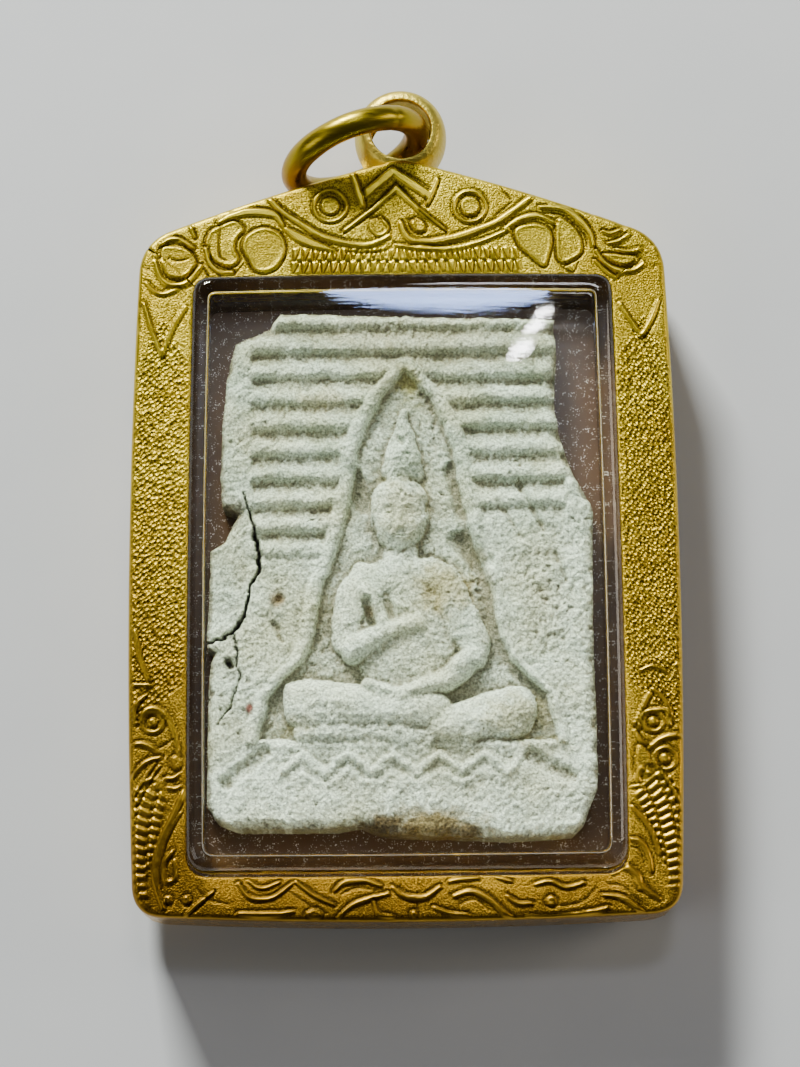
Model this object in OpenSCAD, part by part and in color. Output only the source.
// Amulet pendant: a pressed clay tablet with a seated figure in relief, in a clear case
// that a chased gold frame grips, with a soldered bail and a jump ring.
// Millimetres. X is to the viewer's right, Y up the pendant, Z out of its face; it lies on its back.

/* [Frame] */
// Width of the gold frame at its bottom corners
frame_w = 35.4; // [34.8:0.1:36.2]
// Height from the bottom corners to the roof's apex
frame_h = 51.15; // [50.6:0.05:51.8]
// Height of the apex over the shoulder corners
roof_rise = 5.8; // [5:0.1:6.4]
// How far each long side bows out
side_bow = 0.53; // [0:0.01:0.7]
// Depth of the frame from its back face to its front face
frame_t = 5.2; // [5:0.1:5.6]
// Thickness of the gold sheet
sheet_t = 0.75; // [0.6:0.05:0.85]
// Height of the chased ornament over the front face
chase_h = 0.15; // [0.1:0.01:0.25]

/* [Clear case] */
// Width of the frame's window at its top
window_w = 28.1; // [27.6:0.1:28.5]
// Height of the frame's window
window_h = 39.8; // [39.4:0.1:40]
// Width of the lower border of the frame
bottom_border = 2.5; // [2.4:0.1:2.8]
// How far the clear cover stands out of the frame
cover_proud = 2.7; // [2.2:0.1:3.2]
// How far the back panel stands out of the frame
back_proud = 1.9; // [1.9:0.1:2.3]
// Wall of the clear cover
cover_wall = 1; // [0.8:0.05:1.1]

/* [Tablet] */
// Thickness of the tablet under its field
tablet_t = 2.9; // [2.5:0.1:3.1]
// Scale of the relief's height
relief = 1; // [0.7:0.05:1.1]

/* [Bail and ring] */
// Outer diameter of the bail
bail_d = 6.3; // [6:0.1:6.6]
// Diameter of the bail's mouth
bail_hole_d = 3.7; // [3.6:0.05:3.8]
// Length of the bail along its hole
bail_len = 4.4; // [4:0.1:4.4]
// Mean diameter of the jump ring
ring_d = 8.9; // [8.8:0.05:9]
// Thickness of the jump ring's wire
wire_d = 1.74; // [1.5:0.02:1.76]

/* [Hidden] */

gap = 0.1;                                 // clearance between pieces that are gripped
z_back = back_proud;                       // back face of the frame
z_front = z_back + frame_t;                // front face of the frame
z_top = z_front + cover_proud;             // front face of the cover
z_floor = z_back + sheet_t + gap + 0.7;    // inner face of the back panel
bottom_bow = 0.5;
roof_bow = 0.32;
bail_y = 28.5 - bail_d / 2;
y_bottom = -28.5 + bottom_bow;             // the frame's bottom corners
y_apex = y_bottom + frame_h;
y_shoulder = y_apex - roof_rise;
y_window = y_bottom + bottom_border;       // the window's lower edge
flange = 1.8;                              // how far each half of the case reaches behind the frame
chase_sink = 0.2;                          // how deep a chased form is rooted in the sheet

// Corners run anticlockwise from bottom left; the fourth is the apex, or the middle of the top edge.
// Columns: x, y, length of side that the corner's rounding takes.
frame_corners = [
    [-frame_w / 2, y_bottom, 2],
    [frame_w / 2, y_bottom, 2],
    [frame_w / 2 - 0.1, y_shoulder, 2.2],
    [0, y_apex, 0.7],
    [-frame_w / 2 + 0.1, y_shoulder, 2.2],
];
frame_bows = [bottom_bow, side_bow, roof_bow, roof_bow, side_bow];
window_corners = [
    [-window_w / 2 - 0.2, y_window, 1.6],
    [window_w / 2 + 0.2, y_window, 1.6],
    [window_w / 2, y_window + window_h, 1.3],
    [0, y_window + window_h + 0.15, 4],
    [-window_w / 2, y_window + window_h, 1.3],
];
window_bows = [0.05, 0.15, 0.03, 0.03, 0.15];
side_steps = [8, 10, 5, 5, 10];
corner_steps = 5;

function mix(a, b, t) = a + (b - a) * t;
function clamp01(t) = min(1, max(0, t));
function xy(p) = [p.x, p.y];
function outward(a, b) = [b.y - a.y, a.x - b.x] / norm(b - a);

// A point on bowed side k, at t of its length
function on_side(c, bows, k, t) =
    let (a = xy(c[k]), b = xy(c[(k + 1) % 5]))
    mix(a, b, t) + outward(a, b) * bows[k] * 4 * t * (1 - t);
function side_len(c, k) = norm(xy(c[(k + 1) % 5]) - xy(c[k]));

// A closed outline of five bowed sides with rounded corners
function outline(c, bows) = [
    for (k = [0:4])
        let (
            last = (k + 4) % 5,
            a = on_side(c, bows, last, 1 - c[k].z / side_len(c, last)),
            b = on_side(c, bows, k, c[k].z / side_len(c, k)),
            start = c[k].z / side_len(c, k),
            end = 1 - c[(k + 1) % 5].z / side_len(c, k)
        )
        each concat(
            [for (j = [0:corner_steps]) let (t = j / corner_steps)
                mix(mix(a, xy(c[k]), t), mix(xy(c[k]), b, t), t)],
            [for (j = [1:side_steps[k] - 1]) on_side(c, bows, k, mix(start, end, j / side_steps[k]))]
        )
];

// The outline moved inwards by d
function inset(path, d) = let (n = len(path)) [
    for (i = [0:n - 1])
        let (
            u = outward(path[(i + n - 1) % n], path[i]) + outward(path[i], path[(i + 1) % n])
        )
        path[i] - u / norm(u) * d
];
function at_z(path, z) = [for (p = path) [p.x, p.y, z]];

frame_path = outline(frame_corners, frame_bows);
window_path = outline(window_corners, window_bows);

// Skins a stack of like outlines. A ring of sections closes on itself; a stack is capped at both ends.
module loft(sections, ring = false) {
    n = len(sections[0]);
    m = len(sections);
    bands = ring ? m : m - 1;
    polyhedron(
        points = [for (s = sections) each s],
        faces = concat(
            [for (k = [0:bands - 1], i = [0:n - 1])
                let (a = k * n, b = (k + 1) % m * n, j = (i + 1) % n)
                each [[a + i, b + i, b + j], [a + i, b + j, a + j]]],
            ring ? [] : [
                [for (i = [0:n - 1]) i],
                [for (i = [n - 1:-1:0]) (m - 1) * n + i]
            ]
        ),
        convexity = 6
    );
}

// Chased forms of the gold frame: raised bands along curves.
// Columns: start, point that the curve bends towards, end, width.
band_start = 0;
band_bend = 1;
band_end = 2;
band_w = 3;
bands = [
    // chevrons and bar under the apex
    [[-2.7, 20.6], [-1.6, 21.6], [-0.45, 22.6], 0.5],
    [[2, 20.45], [0.8, 21.5], [-0.45, 22.6], 0.5],
    [[-3.9, 17.95], [-2.1, 19.6], [-0.4, 21.15], 0.4],
    [[2.9, 18.05], [1.3, 19.6], [-0.4, 21.15], 0.4],
    [[-3.45, 22], [-3, 21], [-2.75, 20], 0.35],
    // swags of the roof
    [[-8.8, 20.3], [-4.4, 15.2], [-0.8, 17.5], 0.4],
    [[-8.1, 18.1], [-5.6, 15.9], [-0.4, 16.65], 0.3],
    [[8.8, 20.1], [5.1, 16.6], [0.2, 17.25], 0.45],
    [[8.2, 18.2], [5.2, 15.9], [0.4, 16.6], 0.3],
    // small curls between the chevron's legs
    [[-2.2, 17.75], [-1.4, 19.6], [-0.7, 17.75], 0.25],
    [[0.2, 18.65], [0.9, 16.9], [1.5, 18.35], 0.25],
    // crescents round the leaves
    [[-13.1, 16.5], [-12.3, 20.2], [-8.7, 19], 0.45],
    [[9.6, 19.4], [14.6, 17.3], [10.8, 15.5], 0.45],
    // shoulder curls
    [[-16.2, 17], [-16.3, 13.1], [-13.6, 15.4], 0.45],
    [[13.3, 16.2], [15.6, 14.2], [16.3, 15.6], 0.45],
    // points that end the matted side borders
    [[-17.3, 12.9], [-16.5, 11.2], [-16.1, 9.3], 0.3],
    [[-14.5, 12.5], [-15.6, 11.2], [-16.1, 9.3], 0.3],
    [[14.6, 12.9], [15.2, 11.8], [16, 10.4], 0.3],
    [[17.2, 12.9], [16.6, 11.8], [16, 10.4], 0.3],
    // lower left leaf and stem
    [[-17.6, -9], [-17.3, -11.4], [-16.8, -12.7], 0.3],
    [[-17.4, -17.2], [-16.4, -16], [-15, -17.1], 0.4],
    [[-17.5, -20.7], [-15.4, -23], [-16.8, -26.4], 0.6],
    [[-14.8, -20.3], [-16.8, -23.4], [-15.6, -26.8], 0.35],
    // lower right leaf and stem
    [[15.8, -13.9], [15, -14.8], [14.9, -15.9], 0.35],
    [[15, -19.9], [17.6, -22], [17.2, -25.8], 0.6],
    [[14.8, -21], [16.6, -23.4], [16, -26.4], 0.35],
    // scrolls of the lower border
    [[-14.1, -27.3], [-13.6, -26], [-11.9, -26.3], 0.35],
    [[-10.4, -27.5], [-9.1, -26.4], [-7.6, -27.5], 0.35],
    [[-4.6, -27.6], [-3.2, -28], [-1.6, -26.6], 0.4],
    [[-4.7, -26.2], [-3.2, -26], [-2, -26.4], 0.3],
    [[-1.5, -26.3], [0.1, -28.1], [1.9, -26.3], 0.35],
    [[3, -26.5], [4.8, -28.6], [6.9, -27.6], 0.4],
    [[8, -27.7], [10.4, -26.2], [12.6, -27.4], 0.4],
    [[13.4, -26], [15.3, -25.8], [14.6, -27.5], 0.4],
];
band_steps = 6;
// Round bosses. Columns: x, y, radius.
bosses = [
    [-4.7, 19.85, 0.72],
    [4.6, 19.65, 0.72],
    [-9.3, 16.75, 1.4],
    [9, 17.1, 1.15],
    [-16.2, -15.2, 0.7],
    [16.2, -15.6, 0.75],
    [16.6, -18, 0.55],
];
// Comb of upright bars over the window
comb_x0 = -7.2;
comb_x1 = 7.8;
comb_pitch = 1;
comb_y0 = 14.95;
comb_y1 = 16.1;

function bent(a, c, b, t) = mix(mix(a, c, t), mix(c, b, t), t);
function bent_dir(a, c, b, t) = mix(c - a, b - c, t) / norm(mix(c - a, b - c, t));

module chased_band(row) {
    a = row[band_start];
    c = row[band_bend];
    b = row[band_end];
    function edge(t, side) = let (d = bent_dir(a, c, b, t))
        bent(a, c, b, t) + [-d.y, d.x] * side * row[band_w] / 2 * (0.35 + 0.65 * sin(180 * mix(0.1, 0.9, t)));
    polygon(concat(
        [for (i = [0:band_steps]) edge(i / band_steps, -1)],
        [for (i = [band_steps:-1:0]) edge(i / band_steps, 1)]
    ));
}

module chasing() {
    translate([0, 0, z_front - chase_sink])
        linear_extrude(chase_sink + chase_h) {
            for (row = bands) chased_band(row);
            for (boss = bosses) translate(xy(boss)) circle(r = boss.z, $fn = 12);
            for (x = [comb_x0:comb_pitch:comb_x1]) translate([x, comb_y0]) square([0.45, comb_y1 - comb_y0]);
        }
}

// The frame: a gold channel whose open side faces the case
module frame_channel() {
    loft([
        at_z(inset(frame_path, 0.35), z_back),
        at_z(frame_path, z_back + 0.35),
        at_z(frame_path, z_front - 0.5),
        at_z(inset(frame_path, 0.15), z_front - 0.15),
        at_z(inset(frame_path, 0.5), z_front),
        at_z(inset(window_path, -0.2), z_front),
        at_z(window_path, z_front - 0.2),
        at_z(window_path, z_front - sheet_t),
        at_z(inset(frame_path, sheet_t), z_front - sheet_t),
        at_z(inset(frame_path, sheet_t), z_back + sheet_t),
        at_z(window_path, z_back + sheet_t),
        at_z(window_path, z_back),
    ], ring = true);
}

// Bail: a hollow barrel-shaped bead with thin rims at its two mouths
bail_z = z_back + frame_t / 2;
bail_rim = 0.27;
bail_wall = 0.45;
bail_steps = 8;
function barrel(r_end, r_mid, half, sign) = [
    for (i = [0:bail_steps])
        let (s = 2 * i / bail_steps - 1)
        [r_end + (r_mid - r_end) * sqrt(1 - s * s), sign * s * half]
];
module bail_body() {
    translate([0, bail_y, bail_z])
        rotate_extrude($fn = 64)
            polygon(concat(
                barrel(bail_hole_d / 2 + bail_rim, bail_d / 2, bail_len / 2, 1),
                [[bail_hole_d / 4, bail_len / 2], [bail_hole_d / 4, -bail_len / 2]]
            ));
}
module bail_hollow() {
    translate([0, bail_y, bail_z]) {
        rotate_extrude($fn = 64)
            polygon(concat(
                barrel(bail_hole_d / 2, bail_d / 2 - bail_wall, bail_len / 2 - 0.2, 1),
                [[0, bail_len / 2 - 0.2], [0, -bail_len / 2 + 0.2]]
            ));
        cylinder(d = bail_hole_d, h = bail_len + 1, center = true, $fn = 64);
    }
}

module gold_frame() {
    color("#c79a2b")
        difference() {
            union() {
                frame_channel();
                chasing();
                bail_body();
            }
            bail_hollow();
        }
}

// Jump ring: it hangs through the bail, leans left and stands on the surface
ring_at = [-3.1, bail_y - 1.33, 5.3];
ring_yaw = 20;
ring_lean = 83;
module jump_ring() {
    color("#d0a02a")
        translate(ring_at)
            rotate([0, 0, ring_yaw])
                rotate([ring_lean, 0, 0])
                    rotate_extrude($fn = 64)
                        translate([ring_d / 2, 0]) circle(d = wire_d, $fn = 32);
}

// Clear cover: a box of clear plastic, open at the back, with a flange that the frame grips
module clear_cover() {
    foot = inset(window_path, gap + cover_wall);
    skirt = inset(window_path, -flange);
    wall = inset(window_path, gap);
    color("#cfd8dc", 0.35)
        loft([
            at_z(inset(window_path, gap + cover_wall + 0.2), z_top - 1.2),
            at_z(foot, z_top - 1.4),
            at_z(foot, z_floor + gap),
            at_z(skirt, z_floor + gap),
            at_z(skirt, z_front - sheet_t - gap),
            at_z(wall, z_front - sheet_t - gap),
            at_z(wall, z_top - 0.9),
            at_z(inset(window_path, gap + 0.14), z_top - 0.45),
            at_z(inset(window_path, gap + 0.45), z_top - 0.14),
            at_z(inset(window_path, gap + 0.9), z_top),
        ]);
}

// Back panel: the brown back half of the case, proud of the frame, on which the pendant rests
module back_panel() {
    wall = inset(window_path, gap);
    skirt = inset(window_path, -flange);
    color("#5a4636")
        loft([
            at_z(inset(window_path, gap + 0.9), 0),
            at_z(inset(window_path, gap + 0.3), 0.25),
            at_z(wall, 0.8),
            at_z(wall, z_back + sheet_t + gap),
            at_z(skirt, z_back + sheet_t + gap),
            at_z(skirt, z_floor),
            at_z(inset(window_path, gap + cover_wall), z_floor),
        ]);
}

// Broken edges of the tablet. Columns: distance up the tablet or across it, place of the edge.
left_edge = [
    [-23, -10.6], [-22.2, -12.3], [-21.1, -12.95], [-16.2, -12.95], [-11.4, -12.85], [-10.2, -12.45],
    [-9.8, -13.05], [-4.8, -12.85], [-2.8, -12.85], [-2.1, -11.8], [-0.4, -10.9], [0.5, -12],
    [2, -12.15], [6.7, -12.05], [10, -11.75], [12.5, -11.1],
];
right_edge = [
    [-23, 10.6], [-22.1, 11.5], [-19.8, 12.45], [-14, 12.45], [-8.8, 12.35], [-0.9, 12.5],
    [1.1, 11.4], [3.2, 10.6], [5.9, 10.05], [9.9, 10.3], [12.5, 10.15],
];
top_edge = [[-12, 9.9], [-8.9, 11.3], [-8.2, 12.4], [0, 12.1], [10.2, 11.75]];
bottom_edge = [[-12, -22.4], [-4.6, -22.4], [-2.9, -22.2], [-1.6, -22.75], [6.7, -23.1], [11, -22.9]];

// Half width of the pointed niche behind the figure. Columns: y, half width.
niche = [
    [-16.9, 9.7], [-15.9, 9.6], [-13.7, 9], [-11.5, 6.9], [-9.9, 6.1], [-6.4, 5.5],
    [-4.3, 4.6], [-1.8, 4], [0.9, 3.3], [2.5, 3.2], [4.6, 2.5], [6.5, 1.5], [8.2, 0],
];
niche_x = 0.15;

// Raised forms, each a round-ended bar. Columns: x, y and radius at each end, height over the field.
form_x0 = 0;
form_y0 = 1;
form_r0 = 2;
form_x1 = 3;
form_y1 = 4;
form_r1 = 5;
form_h = 6;
forms = [
    [0, 5.3, 0.35, -0.1, 1.8, 1.45, 0.5],        // flame over the head
    [-0.1, 2.1, 1.3, -0.1, 1.9, 1.3, 0.75],      // topknot
    [-0.3, -0.9, 1.9, -0.3, -2.4, 1.65, 1.05],   // head
    [-0.3, -3.6, 1.1, -0.3, -5.4, 1.4, 0.45],    // neck
    [-2.5, -6.1, 1.4, 1.7, -5.9, 1.3, 0.6],      // shoulders
    [-0.5, -7.2, 3, 0.1, -11, 3.2, 0.65],        // trunk
    [-3.1, -6.5, 1.15, -3.9, -10.1, 1.05, 0.65], // upper arm, left
    [2.6, -6.2, 1.15, 4.4, -10.3, 1.15, 0.65],   // upper arm, right
    [-3.4, -10.6, 0.95, 0.7, -9, 0.75, 1.1],     // forearm over the body
    [-1.4, -9.3, 0.55, -2.7, -6.7, 0.45, 0.95],  // raised hand
    [4.4, -11.1, 0.8, 2.4, -12.8, 0.8, 0.95],    // forearm in the lap
    [2.4, -12.8, 0.8, -0.3, -13.7, 0.65, 0.95],
    [-0.3, -13.7, 0.65, -2.4, -13, 0.5, 0.85],   // hand in the lap
    [-6.4, -14.3, 1.7, 1.8, -14.7, 1.3, 0.95],   // thigh, left
    [7, -14.8, 1.75, 2.4, -15.8, 1.2, 0.95],     // thigh, right
    [-6.6, -16.1, 0.7, 4, -16.4, 0.8, 0.6],      // shin
    [-9.3, -16.95, 0.45, 9.5, -17.05, 0.45, 0.35], // edge of the seat
];
// Cuts. Columns: start, end, radius, depth.
cuts = [
    [[-9.2, -17.4], [-11.7, -19.4], 0.6, 0.35],
    [[8.1, -17.8], [10.6, -19.1], 0.6, 0.35],
    [[-3.3, 1.2], [-2.7, -0.9], 0.7, 0.35],      // behind the head
    [[3.3, 1.4], [3.9, -1.3], 0.75, 0.35],
    [[3.6, -3.4], [5.2, -5], 0.85, 0.45],        // over the shoulder
    [[-10.4, -0.6], [-9.8, -3.4], 0.45, 0.6],    // crack
    [[-9.8, -3.4], [-9.9, -5.5], 0.45, 0.6],
    [[-9.9, -5.5], [-11, -9.1], 0.45, 0.6],
    [[-11, -9.1], [-12.7, -10.2], 0.5, 0.6],
    [[-11.6, -11.4], [-11.4, -11.6], 0.5, 0.5],  // pit
];
rib_top = 12.76;
rib_pitch = 1.76;
rib_depth = 0.3;
petal_pitch = 2.95;

function cell(table, v) = lookup(v, table);
function smooth(t) = let (c = clamp01(t)) c * c * (3 - 2 * c);
function along(p, a, b) = clamp01((p - a) * (b - a) / max(0.0001, (b - a) * (b - a)));

function raised(p, f) =
    let (
        a = [f[form_x0], f[form_y0]],
        b = [f[form_x1], f[form_y1]],
        t = along(p, a, b),
        d = norm(p - mix(a, b, t)) / mix(f[form_r0], f[form_r1], t)
    )
    d >= 1 ? -1 : f[form_h] * pow(1 - d * d, 0.55) - 0.3;
function cut(p, c) =
    let (t = along(p, c[0], c[1]), d = norm(p - mix(c[0], c[1], t)) / c[2])
    d >= 1 ? 0 : c[3] * (1 - d * d);

// How far p lies outside the niche
function from_niche(p) =
    p.y > 8.2 ? norm([p.x - niche_x, p.y - 8.2]) :
    p.y < -16.9 ? 3 :
    (abs(p.x - niche_x) - cell(niche, p.y)) * (p.y > 2 ? 0.86 : 0.92);

// Rounded ribs of the upper field, which die out towards the shoulders of the niche
function ribs(p, out) =
    let (
        side = p.x < 0 ? [-10.3, -4.6] : [11, -2.2],
        fade = smooth((out - 0.7) / 0.5) * smooth((side.x - p.x) * sign(side.x) / 0.4) * smooth((p.y - side.y) / 1.2),
        phase = (rib_top - p.y) / rib_pitch
    )
    fade * rib_depth * (pow(abs(sin(180 * (phase - 0.06 * abs(p.x) / 10))), 0.7) - 0.55);

// Zigzag of lotus petals on the seat
function petals(p) =
    abs(p.x + 0.45) > 7.8 ? 0 :
    let (
        s = abs(((p.x + 8.2) / petal_pitch) % 1 - 0.5) * 2,
        d = abs(p.y - (-18.75 + 1.1 * (1 - s))) / 0.4
    )
    d >= 1 ? 0 : 0.2 * (1 - d * d);

function height(p, edge) =
    let (
        out = from_niche(p),
        ground = -0.35 * smooth((0.25 - out) / 0.5) + 0.22 * max(0, 1 - pow((out - 0.55) / 0.45, 2)),
        figure = max([for (f = forms) raised(p, f)]),
        carved = max(ground + ribs(p, out) + petals(p), figure),
        rounding = edge < 0.7 ? 0.45 * pow(1 - edge / 0.7, 2) : 0
    )
    relief * (carved - max([for (c = cuts) cut(p, c)])) - rounding;

tablet_cols = 54;
tablet_rows = 74;
tablet_z = z_floor + 0.05;

// A point of the tablet's face: u runs across it and v up it, both from 0 to 1
function face_point(u, v) =
    let (
        y0 = mix(-22.8, 12.2, v),
        left = cell(left_edge, y0),
        right = cell(right_edge, y0),
        x = mix(left, right, u),
        low = cell(bottom_edge, x),
        high = cell(top_edge, x),
        y = mix(low, high, v),
        edge = min(x - left, right - x, y - low, high - y)
    )
    [x, y, tablet_z + tablet_t + height([x, y], edge)];

// Tablet: pressed clay powder, its broken edge and its relief worked out on a grid
module tablet() {
    w = tablet_cols + 1;
    h = tablet_rows + 1;
    face = [for (j = [0:tablet_rows], i = [0:tablet_cols]) face_point(i / tablet_cols, j / tablet_rows)];
    rim = concat(
        [for (i = [0:tablet_cols - 1]) i],
        [for (j = [0:tablet_rows - 1]) j * w + tablet_cols],
        [for (i = [tablet_cols:-1:1]) tablet_rows * w + i],
        [for (j = [tablet_rows:-1:1]) j * w]
    );
    n = len(rim);
    base = len(face);
    color("#c8cdbe")
        polyhedron(
            points = concat(
                face,
                [for (k = rim) [face[k].x, face[k].y, tablet_z]],
                [[0, -5, tablet_z]]
            ),
            faces = concat(
                [for (j = [0:tablet_rows - 1], i = [0:tablet_cols - 1])
                    let (a = j * w + i)
                    each [[a, a + w, a + w + 1], [a, a + w + 1, a + 1]]],
                [for (k = [0:n - 1])
                    let (next = (k + 1) % n)
                    each [
                        [rim[k], rim[next], base + next],
                        [rim[k], base + next, base + k],
                        [base + k, base + next, base + n]
                    ]]
            ),
            convexity = 6
        );
}

gold_frame();
jump_ring();
clear_cover();
back_panel();
tablet();
